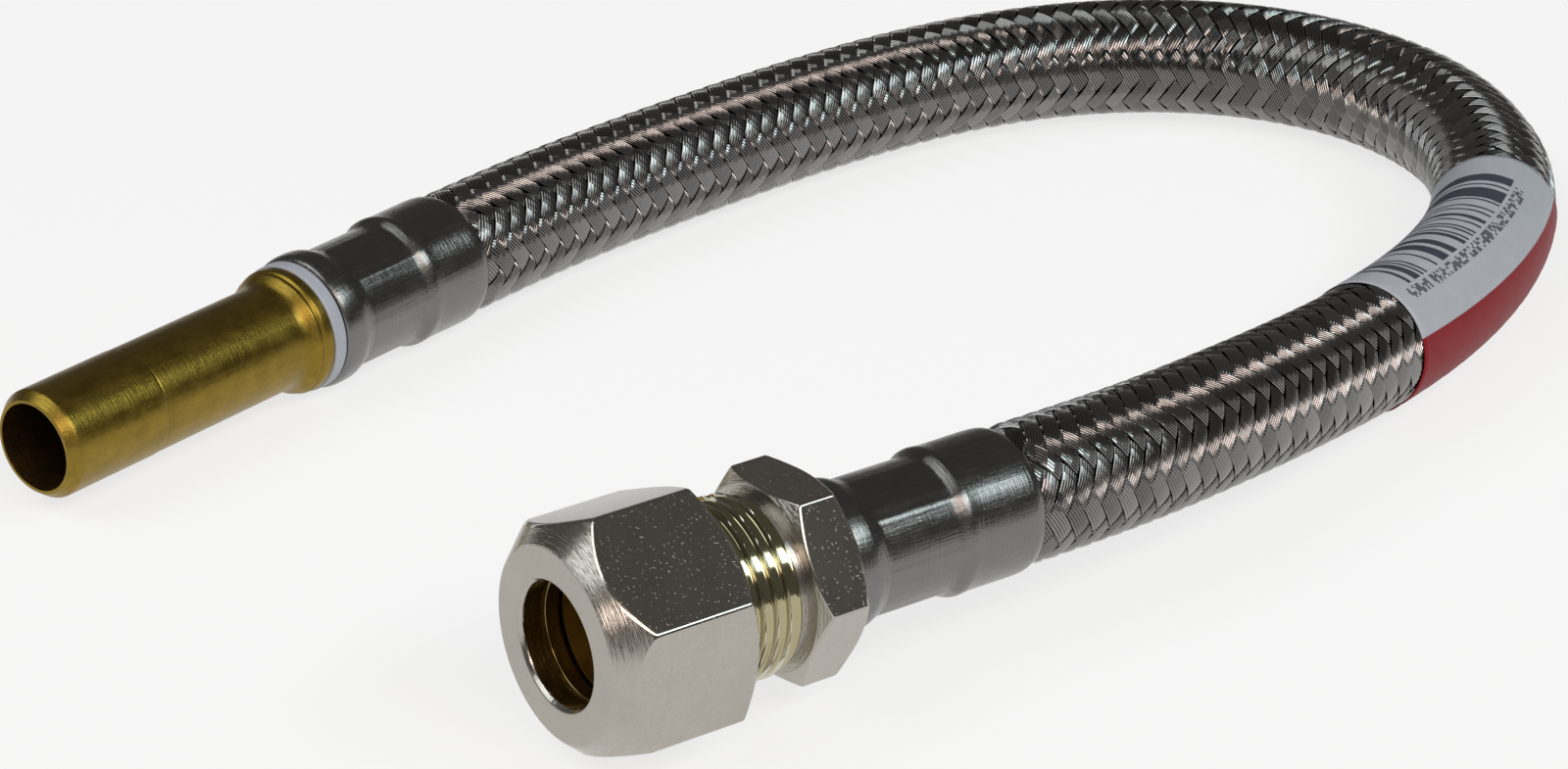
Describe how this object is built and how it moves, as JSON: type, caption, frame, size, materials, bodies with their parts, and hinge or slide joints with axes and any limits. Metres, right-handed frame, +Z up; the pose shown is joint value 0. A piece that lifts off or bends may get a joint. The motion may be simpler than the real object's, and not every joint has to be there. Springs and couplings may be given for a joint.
{
  "type": "braided flexible hose",
  "caption": "Bent steel-braided water hose with a compression coupling at one end and a plain stub pipe at the other.",
  "frame": {"origin": "on the surface that the hose lies on, under the middle of the metal fittings' box", "axes": "+Z up; -X out of the coupling's open end along its axis; +Y from the coupling's leg of the hose to the stub pipe's leg"},
  "size_m": [0.2363, 0.1525, 0.0321],
  "materials": {
    "nut_plate": "dull nickel plate over turned brass",
    "olive_brass": "turned brass",
    "body_plate": "nickel plate worn to brass on the thread",
    "ferrule_steel": "bright stainless with crimp marks",
    "braid_wire": "woven stainless wire",
    "liner_rubber": "black rubber",
    "label_film": "printed film, satin",
    "white_plastic": "white moulded plastic",
    "stub_brass": "drawn brass, dulled to olive"
  },
  "bodies": {
    "root": {"coupling_body": "body_plate", "near_ferrule": "ferrule_steel", "steel_braid": "braid_wire", "rubber_liner": "liner_rubber", "label": "label_film", "far_ferrule": "ferrule_steel", "spacer_ring": "white_plastic", "stub_pipe": "stub_brass"},
    "olive": {"compression_olive": "olive_brass"},
    "nut": {"compression_nut": "nut_plate"}
  },
  "joints": [
    {"name": "olive_slide", "type": "slide", "parent": "root", "child": "olive", "axis": [1, 0, 0], "range_m": [-0.0052, 0.0014]},
    {"name": "nut_turn", "type": "hinge", "parent": "olive", "child": "nut", "pos_m": [-0.01246, -0.05425, 0.01606], "axis": [1, 0, 0], "range_deg": [-1020, 270]}
  ],
  "couplings": [
    {"joint": "olive_slide", "follows": "nut_turn", "m_per_rad": 0.00028871}
  ]
}
